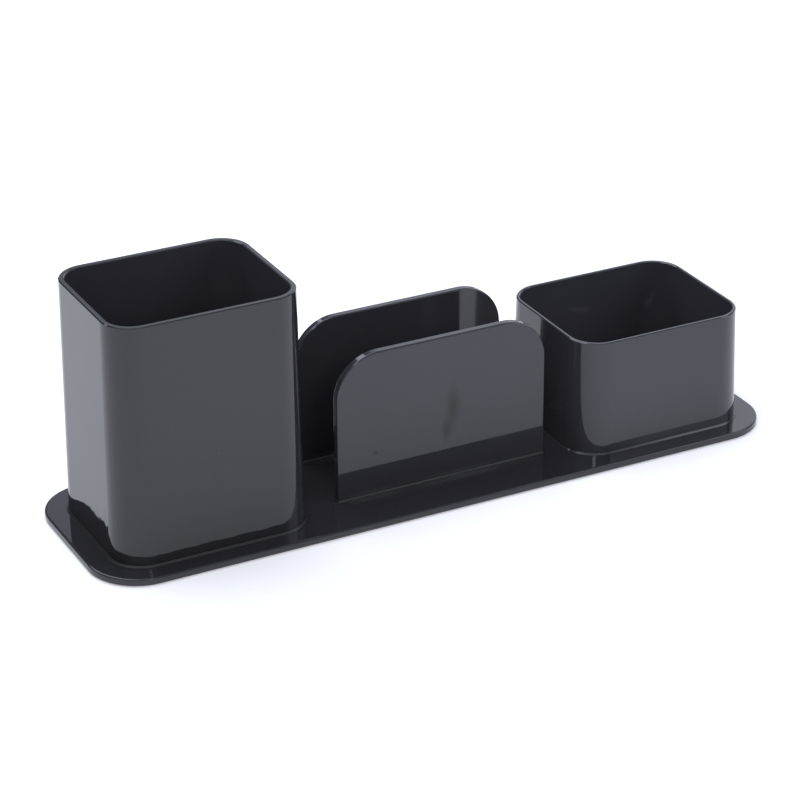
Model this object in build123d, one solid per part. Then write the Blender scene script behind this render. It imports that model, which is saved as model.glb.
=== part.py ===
"""Desk set for pens, notes and clips: two open cups and a pair of memo panels on one long plate.

Millimetres. X runs along the plate, Y from front to back, Z up.
The origin is under the middle of the plate, on the surface that the set stands on.
Heights of the cups and panels are measured from the underside of the plate.
"""
import os
from collections import namedtuple
from math import radians, tan

from build123d import *

# Pen cup, measured round the outside of its rim
pen_cup_length = 60.4
pen_cup_height = 78.5
pen_cup_corner_radius = 9.7
pen_cup_wall = 1.8
pen_cup_draft = 0.75

# Clip cup, measured round the outside of its rim
clip_cup_length = 59.9
clip_cup_height = 40.1
clip_cup_corner_radius = 10.0
clip_cup_wall = 1.2
clip_cup_draft = 1.7

# Moulded form that both cups share
cup_width = 49.9
cup_floor = 2.0
core_floor_bevel = 1.5
rim_edge_bevel = 0.3

# Memo panels, with their spread over the outer faces
panel_length = 71.8
panel_height = 49.9
panel_corner_radius = 14.3
panel_thickness = 2.6
panel_edge_radius = 0.5
panel_spread = 31.5

# Flange under each upright piece, with a bevel round the foot and a flat lip outside it
foot_bevel = 0.5
flange_land = 0.2

# Base plate, as long and wide as what stands on it with a border
pen_cup_gap = 13.1
clip_cup_gap = 8.5
base_end_border = 8.15
base_side_border = 7.55
base_thickness = 2.3
base_corner_radius = 16.4
base_top_edge_radius = 0.6
base_bottom_edge_chamfer = 0.3
seat_depth = 0.7
seat_clearance = 0.05

# Anti-slip feet in shallow pockets under the plate
foot_side = 9.0
foot_thickness = 0.8
foot_pocket_depth = 0.5
foot_pocket_clearance = 0.2
foot_inset_x = 17.0
foot_inset_y = 12.0

# How far a cut runs past the piece it cuts
overrun = 1.0

# Levels, from the surface that the set stands on
base_bottom = foot_thickness - foot_pocket_depth
base_top = base_bottom + base_thickness
seat_floor = base_top - seat_depth
pen_cup_rim = base_bottom + pen_cup_height
clip_cup_rim = base_bottom + clip_cup_height
panel_top = base_bottom + panel_height

# Places along and across the plate
row_length = pen_cup_length + pen_cup_gap + panel_length + clip_cup_gap + clip_cup_length
base_length = row_length + 2 * base_end_border
base_width = cup_width + 2 * base_side_border
pen_cup_x = (pen_cup_length - row_length) / 2
clip_cup_x = (row_length - clip_cup_length) / 2
panel_x = pen_cup_x + (pen_cup_length + panel_length) / 2 + pen_cup_gap
panel_y = (panel_spread - panel_thickness) / 2
foot_x = base_length / 2 - foot_inset_x
foot_y = base_width / 2 - foot_inset_y

# Outline of a piece seen from above: a rectangle with rounded corners
Outline = namedtuple("Outline", "length width radius x y")


def draft_growth(rise, angle):
    """Sideways growth of a drafted wall on one side over its rise."""
    return rise * tan(radians(angle))


def grown(outline, border):
    """Outline moved outwards by a border all round."""
    return outline._replace(
        length=outline.length + 2 * border,
        width=outline.width + 2 * border,
        radius=outline.radius + border,
    )


def slab(outline, bottom, top, taper=0):
    """Solid on an outline between two levels, its walls leaning in by the taper angle."""
    face = RectangleRounded(outline.length, outline.width, outline.radius)
    place = Pos(outline.x, outline.y, bottom)
    return extrude(place * face, amount=top - bottom, taper=taper)


def on_flange(body, foot):
    """Body standing on a flange that sits in the plate, with a small bevel round its foot."""
    body += slab(grown(foot, foot_bevel + flange_land), seat_floor, base_top)
    underside, ledge, top = body.faces().filter_by(Axis.Z).sort_by(Axis.Z)
    return chamfer(ledge.inner_wires().edges(), foot_bevel)


# Outlines at the rim of each cup, and of the foot where each piece meets the plate
pen_rim = Outline(pen_cup_length, cup_width, pen_cup_corner_radius, pen_cup_x, 0)
clip_rim = Outline(clip_cup_length, cup_width, clip_cup_corner_radius, clip_cup_x, 0)
pen_foot = grown(pen_rim, draft_growth(pen_cup_rim - base_top, pen_cup_draft))
clip_foot = grown(clip_rim, draft_growth(clip_cup_rim - base_top, clip_cup_draft))
front_foot = Outline(panel_length, panel_thickness, panel_edge_radius, panel_x, -panel_y)
rear_foot = front_foot._replace(y=panel_y)


def cup(rim, foot, rim_level, wall, draft):
    """Thin-walled cup: walls that lean in from a flanged foot, and a straight core with a bevelled floor."""
    body = on_flange(slab(foot, base_top, rim_level, draft), foot)
    core = slab(grown(rim, -wall), seat_floor + cup_floor, rim_level)
    body -= chamfer(core.edges().group_by(Axis.Z)[0], core_floor_bevel)
    return chamfer(body.faces().sort_by(Axis.Z)[-1].edges(), rim_edge_bevel)


def memo_panel(foot):
    """Upright panel with round upper corners, soft edges and a flange."""
    standing = (Align.CENTER, Align.MIN)
    front = Rectangle(panel_length, panel_top - base_top, align=standing)
    front = fillet(front.vertices().group_by(Axis.Y)[-1], panel_corner_radius)
    body = extrude(Plane.XZ * front, amount=panel_thickness / 2, both=True)
    faces = body.faces().sort_by(Axis.Y)
    rims = faces[0].edges() + faces[-1].edges()
    body = fillet(rims - rims.group_by(Axis.Z)[0], panel_edge_radius)
    return on_flange(Pos(foot.x, foot.y, base_top) * body, foot)


def foot_places(level):
    """Places of the feet at one level, one near each corner of the plate."""
    return Pos(0, 0, level) * GridLocations(2 * foot_x, 2 * foot_y, 2, 2)


def base_plate():
    """Plate with round corners and soft edges, a seat for each flange and a pocket for each foot."""
    body = slab(Outline(base_length, base_width, base_corner_radius, 0, 0), base_bottom, base_top)
    body = fillet(body.edges().group_by(Axis.Z)[-1], base_top_edge_radius)
    body = chamfer(body.edges().group_by(Axis.Z)[0], base_bottom_edge_chamfer)
    for foot in (pen_foot, clip_foot, front_foot, rear_foot):
        seat = grown(foot, foot_bevel + flange_land + seat_clearance)
        body -= slab(seat, seat_floor, base_top + overrun)
    pocket_side = foot_side + 2 * foot_pocket_clearance
    hanging = (Align.CENTER, Align.CENTER, Align.MAX)
    pocket = Box(pocket_side, pocket_side, foot_pocket_depth + overrun, align=hanging)
    for place in foot_places(base_bottom + foot_pocket_depth):
        body -= place * pocket
    return body


def anti_slip_feet():
    """Thin square pads, cut from sheet."""
    standing = (Align.CENTER, Align.CENTER, Align.MIN)
    pad = Box(foot_side, foot_side, foot_thickness, align=standing)
    return Compound(children=[place * pad for place in foot_places(0)])


pieces = {
    "base_plate": base_plate(),
    "pen_cup": cup(pen_rim, pen_foot, pen_cup_rim, pen_cup_wall, pen_cup_draft),
    "clip_cup": cup(clip_rim, clip_foot, clip_cup_rim, clip_cup_wall, clip_cup_draft),
    "memo_front_panel": memo_panel(front_foot),
    "memo_rear_panel": memo_panel(rear_foot),
    "anti_slip_feet": anti_slip_feet(),
}

os.makedirs("parts", exist_ok=True)
for name, piece in pieces.items():
    export_step(piece, f"parts/{name}.step")
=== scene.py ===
"""Looks of the desk set: gloss black mouldings on a white studio floor, seen as in the photo.

Metres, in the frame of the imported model. X runs along the plate, Y from front to back, Z up.
"""
import math

import bpy
from mathutils import Matrix, Vector


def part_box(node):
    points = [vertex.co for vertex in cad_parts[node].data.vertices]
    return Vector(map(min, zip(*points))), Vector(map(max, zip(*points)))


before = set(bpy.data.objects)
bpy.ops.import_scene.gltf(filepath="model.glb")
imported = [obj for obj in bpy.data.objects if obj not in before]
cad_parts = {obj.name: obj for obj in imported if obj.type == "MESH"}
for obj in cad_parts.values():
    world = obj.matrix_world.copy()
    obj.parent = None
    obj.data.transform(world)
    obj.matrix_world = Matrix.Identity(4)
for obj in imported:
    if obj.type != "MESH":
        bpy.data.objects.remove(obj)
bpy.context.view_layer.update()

MM = 0.001
PLATE_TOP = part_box("base_plate")[1][2]

# Camera, as fitted to the photo's outlines in its frame of 800 by 800 pixels
IMAGE_SIZE = 800
FOCAL_PIXELS = 2861.2
CAMERA_AZIMUTH = math.radians(-27.19)
CAMERA_ELEVATION = math.radians(26.18)
CAMERA_ROLL = math.radians(-0.298)
CAMERA_DISTANCE = 0.8834
CAMERA_TARGET = Vector((0, 0, 0.0303))
TARGET_PIXEL = (411.33, 378.36)
SENSOR_WIDTH = 36

# Studio: pale floor, whiter far away where it is seen, and even room light
FLOOR_SIZE = 8.0
FLOOR_COLOR = (0.90, 0.90, 0.905)
FLOOR_ROUGHNESS = 0.9
FLOOR_WHITENESS = 0.30
FAR_WHITENESS = 0.60
NEAR_FLOOR = 0.45
FAR_FLOOR = 1.60
LIGHT_COLOR = (0.94, 0.985, 1.115)
ROOM_LIGHT = 0.10

# Softboxes in the room as (azimuth, elevation, half width, soft edge, radiance), with angles in degrees
SOFTBOXES = {
    "left_front": (-125, 52, 38, 14, 0.75),
    "right_front": (-34, 27, 25, 4, 0.56),
    "right_back": (38, 28, 25, 12, 1.20),
}

# Lamps as (place, point aimed at, width, height, power in watts)
LAMPS = {
    "back_left": ((-0.22, 0.36, 0.80), (-0.08, 0.0, 0.0), 0.85, 0.85, 5.8),
    "right_strip": ((0.45, -0.32, 0.28), (0.05, -0.05, 0.0), 0.40, 0.40, 0.75),
    "front_pin": ((-0.10, -0.345, 0.232), (0.0, 0.0, 0.02), 0.06, 0.06, 0.12),
}

# Gloss black plastic: dark and light shade of the clip cup and panels, the pen cup, insides and plate. The
# pen cup's colour is made darker as painted shade, and the insides' lighter as painted light
UPRIGHT_BLACK = ((0.0285, 0.0268, 0.0322), (0.0375, 0.0354, 0.0418))
# Pen cup: the same plastic made darker, as painted shade
PEN_SHADED_BLACK = ((0.0190, 0.0180, 0.0214), (0.0250, 0.0236, 0.0278))
# Insides of the cups: the same plastic made lighter, as painted light
INSIDE_LIT_BLACK = ((0.0396, 0.0373, 0.0447), (0.0521, 0.0492, 0.0581))
PLATE_BLACK = ((0.0245, 0.0230, 0.0275), (0.0315, 0.0298, 0.0350))
PLASTIC_IOR = 1.53
GLOSS_CLEAN = 0.035
GLOSS_SMEARED = 0.10

# Cloudy patterns as (clouds per metre, detail), and what keeps two patterns of one seed apart
FILM_CLOUDS = (9.0, 3.0)
SMEAR_CLOUDS = (34.0, 4.0)
WAVE_CLOUDS = (24.0, 1.0)
RIPPLE_CLOUDS = (190.0, 1.0)
PEEL_CLOUDS = (900.0, 2.0)
HAZE_CLOUDS = (45.0, 2.0)
FILM_SEED = 7.0
RIPPLE_SEED = 3.0
HAZE_SEED = 5.0

# Levels of a pattern at which its mark begins and is full
FILM_LEVELS = (0.30, 0.70)
SMEAR_LEVELS = (0.42, 0.74)
HAZE_LEVELS = (0.30, 0.65)
HAIRLINE_LEVELS = (0.70, 0.76)

# Hairlines: stretch and turn of a pattern into lines, and the gloss that they take away
HAIRLINE_STRETCH = (60, 60, 2600)
HAIRLINE_TURN = (0.5, 1.1)
HAIRLINE_CLOUDS = (1.0, 1.0)
HAIRLINE_DULLNESS = 0.05

# Height of the surface faults
WAVE_HEIGHT = 0.030 * MM
PEEL_HEIGHT = 0.0003 * MM
SCRATCH_DEPTH = 0.0010 * MM
PEN_RIPPLE = 0.090 * MM
CLIP_RIPPLE = 0.030 * MM
FLAT_RIPPLE = 0.010 * MM

# Ripples: levels at which they begin and are full on the way down, and how far up such a surface may face
RIPPLE_TOP = 26.0 * MM
RIPPLE_FULL = 10.0 * MM
RIPPLE_FACING = (0.5, 0.2)

# Inside of a cup, which takes a lighter colour as painted light: rise of its floor over the plate, and depth
# over which a face turns from outer to inner
LIT_INSIDE_RISE = (0.6 * MM, 1.0 * MM)
LIT_INSIDE_TURN = 1.0 * MM

# Haze of the joint round the foot of each panel
HAZE_REACH = 5.0 * MM
HAZE_RISE = 2.6 * MM
HAZE_FADE = 8.0 * MM
HAZE_LEAST = 0.25
HAZE_COLOR = (0.048, 0.046, 0.052)
HAZE_ROUGHNESS = 0.60

# Painted shade: a dark, dull line where each foot meets the plate, with how much of it each piece has
CREASE_RISE = 0.9 * MM
CREASE_FULL = 0.5 * MM
CREASE_PAINTED_SHADE = (0.008, 0.008, 0.009)
CREASE_ROUGHNESS = 0.45
CREASE_SHADE_SHARES = {
    "base_plate": 0.0,
    "pen_cup": 0.8,
    "clip_cup": 0.25,
    "memo_front_panel": 1.0,
    "memo_rear_panel": 1.0,
}

# Dust: cells per metre, edge and full part of a speck in its cell, and share of bare cells by facing
DUST_CELLS = 420.0
DUST_EDGE = 0.085
DUST_FULL = 0.05
DUST_FACING = (-0.2, 0.9)
DUST_BARE = (0.995, 0.93)
DUST_COLOR = (0.055, 0.055, 0.058)
DUST_DULLNESS = 0.5

# Dull blots on the front panel as (middle, half size)
BLOT_COLOR = (0.003, 0.003, 0.003)
PANEL_BLOTS = (
    ((0.0062, -0.0158, 0.0260), (0.0034, 0.0100, 0.0105)),
    ((0.0040, -0.0158, 0.0190), (0.0026, 0.0100, 0.0060)),
    ((-0.0204, -0.0158, 0.0165), (0.0012, 0.0100, 0.0012)),
)

# Rubber of the feet
RUBBER_DARK = (0.018, 0.018, 0.018)
RUBBER_LIGHT = (0.040, 0.040, 0.040)
RUBBER_ROUGHNESS = (0.62, 0.88)
GRAIN_CLOUDS = (2600.0, 3.0)
GRAIN_LEVELS = (0.2, 0.8)
GRAIN_SEED = 1.0
GRAIN_STRENGTH = 0.5
GRAIN_HEIGHT = 0.02 * MM
SCUFF_CLOUDS = (420.0, 4.0)
SCUFF_LEVELS = (0.45, 0.70)
SCUFF_SEED = 2.0
SCUFF_RISE = 0.4 * MM

# Sockets of a mix node for colours, which has others of the same names
MIX_FACTOR, MIX_FIRST, MIX_SECOND, MIX_RESULT = 0, 6, 7, 2


def make(tree, kind, sockets=None, **settings):
    """New shader node with its settings, and its sockets linked or set."""
    made = tree.nodes.new(kind)
    for name, value in settings.items():
        setattr(made, name, value)
    for key, value in (sockets or {}).items():
        if isinstance(value, bpy.types.NodeSocket):
            tree.links.new(value, made.inputs[key])
        else:
            made.inputs[key].default_value = value
    return made


def math_node(tree, operation, *values):
    """Output of a math node on sockets or numbers."""
    return make(tree, "ShaderNodeMath", dict(enumerate(values)), operation=operation).outputs[0]


def vector_node(tree, operation, *vectors):
    """Output of a vector math node: a number for a length or dot product, and else a vector."""
    made = make(tree, "ShaderNodeVectorMath", dict(enumerate(vectors)), operation=operation)
    return made.outputs["Value" if operation in ("LENGTH", "DOT_PRODUCT") else "Vector"]


def axes(tree, vector):
    """X, Y and Z of a vector, by name."""
    return make(tree, "ShaderNodeSeparateXYZ", {0: vector}).outputs


def ramp(tree, value, low, high, to_low=0.0, to_high=1.0):
    """Smooth step of a value between two levels."""
    sockets = {"Value": value, "From Min": low, "From Max": high, "To Min": to_low, "To Max": to_high}
    return make(tree, "ShaderNodeMapRange", sockets, interpolation_type="SMOOTHSTEP").outputs["Result"]


def mix_color(tree, factor, first, second):
    """Colour between two colours, each given as three numbers or as a socket."""
    sockets = {MIX_FACTOR: factor}
    for key, color in ((MIX_FIRST, first), (MIX_SECOND, second)):
        sockets[key] = color if isinstance(color, bpy.types.NodeSocket) else (*color, 1)
    mixed = make(tree, "ShaderNodeMix", data_type="RGBA")
    for key, value in sockets.items():
        if isinstance(value, bpy.types.NodeSocket):
            tree.links.new(value, mixed.inputs[key])
        else:
            mixed.inputs[key].default_value = value
    return mixed.outputs[MIX_RESULT]


def noise(tree, place, scale, detail, seed):
    """Cloudy noise between 0 and 1 on a place in metres."""
    sockets = {"Vector": place, "W": seed, "Scale": scale, "Detail": detail}
    return make(tree, "ShaderNodeTexNoise", sockets, noise_dimensions="4D").outputs[0]


def new_material(name):
    """New material, its tree and its surface shader."""
    material = bpy.data.materials.new(name)
    material.use_nodes = True
    tree = material.node_tree
    return material, tree, tree.nodes["Principled BSDF"]


def camera_placed():
    """Camera at the photo's viewing angle and framing."""
    flat = math.cos(CAMERA_ELEVATION)
    back = Vector((
        math.sin(CAMERA_AZIMUTH) * flat,
        -math.cos(CAMERA_AZIMUTH) * flat,
        math.sin(CAMERA_ELEVATION),
    ))
    right = Vector((math.cos(CAMERA_AZIMUTH), math.sin(CAMERA_AZIMUTH), 0))
    up = back.cross(right)
    across = right * math.cos(CAMERA_ROLL) + up * math.sin(CAMERA_ROLL)
    along = up * math.cos(CAMERA_ROLL) - right * math.sin(CAMERA_ROLL)
    pixel = CAMERA_DISTANCE / FOCAL_PIXELS
    middle = IMAGE_SIZE / 2
    place = CAMERA_TARGET + back * CAMERA_DISTANCE
    place += along * (TARGET_PIXEL[1] - middle) * pixel - across * (TARGET_PIXEL[0] - middle) * pixel
    data = bpy.data.cameras.new("camera")
    data.sensor_width = SENSOR_WIDTH
    data.lens = SENSOR_WIDTH * FOCAL_PIXELS / IMAGE_SIZE
    camera = bpy.data.objects.new("camera", data)
    camera.matrix_world = Matrix.Translation(place) @ Matrix((across, along, back)).transposed().to_4x4()
    bpy.context.scene.collection.objects.link(camera)
    bpy.context.scene.camera = camera


def softbox(tree, ray, azimuth, elevation, half_width, soft_edge, radiance):
    """Radiance of a round softbox in the room for a ray."""
    flat = math.cos(math.radians(elevation))
    turn = math.radians(azimuth)
    toward = (math.cos(turn) * flat, math.sin(turn) * flat, math.sin(math.radians(elevation)))
    facing = vector_node(tree, "DOT_PRODUCT", ray, toward)
    outer = math.cos(math.radians(half_width + soft_edge))
    inner = math.cos(math.radians(half_width - soft_edge))
    return ramp(tree, facing, outer, inner, 0.0, radiance)


def seen_directly(tree):
    """1 where a ray from the camera, or one that it sends on by gloss or glass, arrives."""
    path = make(tree, "ShaderNodeLightPath")
    seen = math_node(tree, "MAXIMUM", path.outputs["Is Camera Ray"], path.outputs["Is Glossy Ray"])
    return math_node(tree, "MAXIMUM", seen, path.outputs["Is Transmission Ray"])


def studio_room():
    """Even room light with softboxes round the set, white where the camera looks past the floor."""
    world = bpy.data.worlds.new("studio_room")
    world.use_nodes = True
    bpy.context.scene.world = world
    tree = world.node_tree
    ray = make(tree, "ShaderNodeTexCoord").outputs["Generated"]
    light = ROOM_LIGHT
    for box in SOFTBOXES.values():
        light = math_node(tree, "ADD", light, softbox(tree, ray, *box))
    room = tree.nodes["Background"]
    room.inputs["Color"].default_value = (*LIGHT_COLOR, 1)
    tree.links.new(light, room.inputs["Strength"])
    white = make(tree, "ShaderNodeBackground", {"Color": (1, 1, 1, 1), "Strength": 1.0})
    camera_ray = make(tree, "ShaderNodeLightPath").outputs["Is Camera Ray"]
    shown = make(tree, "ShaderNodeMixShader", {0: camera_ray, 1: room.outputs[0], 2: white.outputs[0]})
    tree.links.new(shown.outputs[0], tree.nodes["World Output"].inputs["Surface"])


def floor_laid():
    """White floor that takes the object's shadow, lifted to white where it is seen, more so far away."""
    half = FLOOR_SIZE / 2
    corners = [(-half, -half, 0), (half, -half, 0), (half, half, 0), (-half, half, 0)]
    mesh = bpy.data.meshes.new("floor")
    mesh.from_pydata(corners, [], [(0, 1, 2, 3)])
    floor = bpy.data.objects.new("floor", mesh)
    bpy.context.scene.collection.objects.link(floor)
    material, tree, surface = new_material("floor_paper")
    surface.inputs["Base Color"].default_value = (*FLOOR_COLOR, 1)
    surface.inputs["Roughness"].default_value = FLOOR_ROUGHNESS
    surface.inputs["Specular IOR Level"].default_value = 0.0
    surface.inputs["Emission Color"].default_value = (1, 1, 1, 1)
    away = vector_node(tree, "LENGTH", make(tree, "ShaderNodeTexCoord").outputs["Object"])
    whiteness = ramp(tree, away, NEAR_FLOOR, FAR_FLOOR, FLOOR_WHITENESS, FAR_WHITENESS)
    lift = math_node(tree, "MULTIPLY", seen_directly(tree), whiteness)
    tree.links.new(lift, surface.inputs["Emission Strength"])
    mesh.materials.append(material)


def lamp(name, place, aim, width, height, power):
    """Soft rectangular lamp that looks at a point."""
    data = bpy.data.lights.new(name, "AREA")
    data.shape = "RECTANGLE"
    data.size = width
    data.size_y = height
    data.energy = power
    data.color = LIGHT_COLOR
    made = bpy.data.objects.new(name, data)
    made.location = place
    made.rotation_euler = (Vector(aim) - Vector(place)).to_track_quat("-Z", "Y").to_euler()
    bpy.context.scene.collection.objects.link(made)


def blot(tree, place, middle, half_size):
    """Soft round patch: 1 in its middle and 0 from its edge on."""
    offset = vector_node(tree, "SUBTRACT", place, middle)
    reach = vector_node(tree, "LENGTH", vector_node(tree, "DIVIDE", offset, half_size))
    return ramp(tree, reach, 1.0, 0.0)


def past(tree, value, low, high):
    """How far a value lies outside a range, less than zero inside it."""
    below = math_node(tree, "SUBTRACT", low, value)
    return math_node(tree, "MAXIMUM", below, math_node(tree, "SUBTRACT", value, high))


def joint_haze(tree, place, panel):
    """Haze of the joint along the foot of a panel, on the plate and low on the panel, gone at its ends."""
    low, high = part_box(panel)
    axis = axes(tree, place)
    haze = ramp(tree, noise(tree, place, *HAZE_CLOUDS, HAZE_SEED), *HAZE_LEVELS, HAZE_LEAST, 1.0)
    along = ramp(tree, past(tree, axis["X"], low[0], high[0]), 0.0, -HAZE_FADE)
    beside = ramp(tree, past(tree, axis["Y"], low[1], high[1]), HAZE_REACH, 0.0)
    above = ramp(tree, axis["Z"], PLATE_TOP + HAZE_RISE, PLATE_TOP)
    for near in (along, beside, above):
        haze = math_node(tree, "MULTIPLY", haze, near)
    return haze


def facing(tree):
    """Direction in which a surface faces."""
    return make(tree, "ShaderNodeNewGeometry").outputs["Normal"]


def lit_inside_mask(tree, place, cup):
    """1 on the inner walls and floor of a cup, which face the middle of its mouth, and 0 outside: where the
    insides are painted lighter as painted light.
    """
    low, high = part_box(cup)
    mouth = ((low[0] + high[0]) / 2, (low[1] + high[1]) / 2, high[2])
    away = vector_node(tree, "DOT_PRODUCT", vector_node(tree, "SUBTRACT", place, mouth), facing(tree))
    over_flange = ramp(tree, axes(tree, place)["Z"], *(PLATE_TOP + rise for rise in LIT_INSIDE_RISE))
    return math_node(tree, "MULTIPLY", over_flange, ramp(tree, away, 0.0, -LIT_INSIDE_TURN))


def dust_specks(tree, place):
    """Specks of dust, more of them on what faces up."""
    cells = make(tree, "ShaderNodeTexVoronoi", {"Vector": place, "Scale": DUST_CELLS})
    speck = ramp(tree, cells.outputs["Distance"], DUST_EDGE, DUST_FULL)
    picked = axes(tree, cells.outputs["Color"])["X"]
    bare = ramp(tree, axes(tree, facing(tree))["Z"], *DUST_FACING, *DUST_BARE)
    return math_node(tree, "MULTIPLY", speck, math_node(tree, "GREATER_THAN", picked, bare))


def hairlines(tree, place, seed):
    """Fine lines that run one way, as left by polishing cloths."""
    sockets = {"Vector": place, "Rotation": (*HAIRLINE_TURN, seed), "Scale": HAIRLINE_STRETCH}
    stretched = make(tree, "ShaderNodeMapping", sockets).outputs["Vector"]
    return ramp(tree, noise(tree, stretched, *HAIRLINE_CLOUDS, seed), *HAIRLINE_LEVELS)


def relief(tree, place, seed, ripple_height, hairline):
    """Height of the surface: slow waves, ripples low on the walls, orange peel and hairlines."""
    near_foot = ramp(tree, axes(tree, place)["Z"], RIPPLE_TOP, RIPPLE_FULL)
    on_wall = ramp(tree, axes(tree, facing(tree))["Z"], *RIPPLE_FACING)
    ripple = noise(tree, place, *RIPPLE_CLOUDS, seed + RIPPLE_SEED)
    ripple = math_node(tree, "MULTIPLY", ripple, math_node(tree, "MULTIPLY", near_foot, on_wall))
    faults = (
        (noise(tree, place, *WAVE_CLOUDS, seed), WAVE_HEIGHT),
        (ripple, ripple_height),
        (noise(tree, place, *PEEL_CLOUDS, seed), PEEL_HEIGHT),
        (hairline, -SCRATCH_DEPTH),
    )
    height = 0.0
    for fault, rise in faults:
        height = math_node(tree, "ADD", height, math_node(tree, "MULTIPLY", fault, rise))
    return height


def gloss_black(node, seed, shades, ripple_height, panels=(), blots=(), lit_inside=None):
    """Polished black moulding: film, smears, hairlines, joint haze, painted shade in the creases, blots,
    dust and relief, with cup insides painted lighter as painted light.
    """
    material, tree, surface = new_material("black_" + node)
    place = make(tree, "ShaderNodeTexCoord").outputs["Object"]

    film = ramp(tree, noise(tree, place, *FILM_CLOUDS, seed + FILM_SEED), *FILM_LEVELS)
    color = mix_color(tree, film, *shades)
    # Painted light: the insides of a cup take a lighter colour
    if lit_inside:
        color = mix_color(tree, lit_inside_mask(tree, place, node), color, mix_color(tree, film, *lit_inside))

    smear = ramp(tree, noise(tree, place, *SMEAR_CLOUDS, seed), *SMEAR_LEVELS)
    gloss = ramp(tree, smear, 0.0, 1.0, GLOSS_CLEAN, GLOSS_SMEARED)
    hairline = hairlines(tree, place, seed)
    gloss = math_node(tree, "ADD", gloss, math_node(tree, "MULTIPLY", hairline, HAIRLINE_DULLNESS))

    for panel in panels:
        haze = joint_haze(tree, place, panel)
        color = mix_color(tree, haze, color, HAZE_COLOR)
        gloss = math_node(tree, "MAXIMUM", gloss, math_node(tree, "MULTIPLY", haze, HAZE_ROUGHNESS))

    level = axes(tree, place)["Z"]
    # Painted shade: a darker colour low in the corner where each foot meets the plate, along with duller
    # gloss
    crease_shade = ramp(tree, level, PLATE_TOP + CREASE_RISE, PLATE_TOP + CREASE_FULL, 0.0, CREASE_SHADE_SHARES[node])
    color = mix_color(tree, crease_shade, color, CREASE_PAINTED_SHADE)
    gloss = math_node(tree, "MAXIMUM", gloss, math_node(tree, "MULTIPLY", crease_shade, CREASE_ROUGHNESS))

    for middle, half_size in blots:
        color = mix_color(tree, blot(tree, place, middle, half_size), color, BLOT_COLOR)

    dust = dust_specks(tree, place)
    color = mix_color(tree, dust, color, DUST_COLOR)
    gloss = math_node(tree, "ADD", gloss, math_node(tree, "MULTIPLY", dust, DUST_DULLNESS))

    height = relief(tree, place, seed, ripple_height, hairline)
    bump = make(tree, "ShaderNodeBump", {"Height": height, "Strength": 1.0, "Distance": 1.0})
    tree.links.new(color, surface.inputs["Base Color"])
    tree.links.new(gloss, surface.inputs["Roughness"])
    tree.links.new(bump.outputs["Normal"], surface.inputs["Normal"])
    surface.inputs["IOR"].default_value = PLASTIC_IOR
    return material


def pad_rubber(name):
    """Matt soft rubber: fine grain, scuffed where it stands on the desk."""
    material, tree, surface = new_material(name)
    place = make(tree, "ShaderNodeTexCoord").outputs["Object"]
    grain = noise(tree, place, *GRAIN_CLOUDS, GRAIN_SEED)
    scuff = ramp(tree, noise(tree, place, *SCUFF_CLOUDS, SCUFF_SEED), *SCUFF_LEVELS)
    worn = math_node(tree, "MULTIPLY", scuff, ramp(tree, axes(tree, place)["Z"], SCUFF_RISE, 0.0))
    sockets = {"Height": grain, "Strength": GRAIN_STRENGTH, "Distance": GRAIN_HEIGHT}
    bump = make(tree, "ShaderNodeBump", sockets)
    tree.links.new(mix_color(tree, worn, RUBBER_DARK, RUBBER_LIGHT), surface.inputs["Base Color"])
    tree.links.new(ramp(tree, grain, *GRAIN_LEVELS, *RUBBER_ROUGHNESS), surface.inputs["Roughness"])
    tree.links.new(bump.outputs["Normal"], surface.inputs["Normal"])
    return material


def dress(node, material):
    """CAD piece in its finished material."""
    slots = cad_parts[node].data.materials
    slots.clear()
    slots.append(material)


camera_placed()
studio_room()
floor_laid()
for name, settings in LAMPS.items():
    lamp(name, *settings)

panels = ("memo_front_panel", "memo_rear_panel")
dress("base_plate", gloss_black("base_plate", 47.0, PLATE_BLACK, FLAT_RIPPLE, panels))
# The pen cup's darker colour is painted shade
dress("pen_cup", gloss_black("pen_cup", 0.0, PEN_SHADED_BLACK, PEN_RIPPLE, lit_inside=INSIDE_LIT_BLACK))
dress("clip_cup", gloss_black("clip_cup", 11.0, UPRIGHT_BLACK, CLIP_RIPPLE, lit_inside=INSIDE_LIT_BLACK))
dress(panels[0], gloss_black(panels[0], 22.0, UPRIGHT_BLACK, FLAT_RIPPLE, panels[:1], PANEL_BLOTS))
dress(panels[1], gloss_black(panels[1], 33.0, UPRIGHT_BLACK, FLAT_RIPPLE, panels[1:]))
dress("anti_slip_feet", pad_rubber("foot_rubber"))

bpy.context.scene.view_settings.view_transform = "Standard"
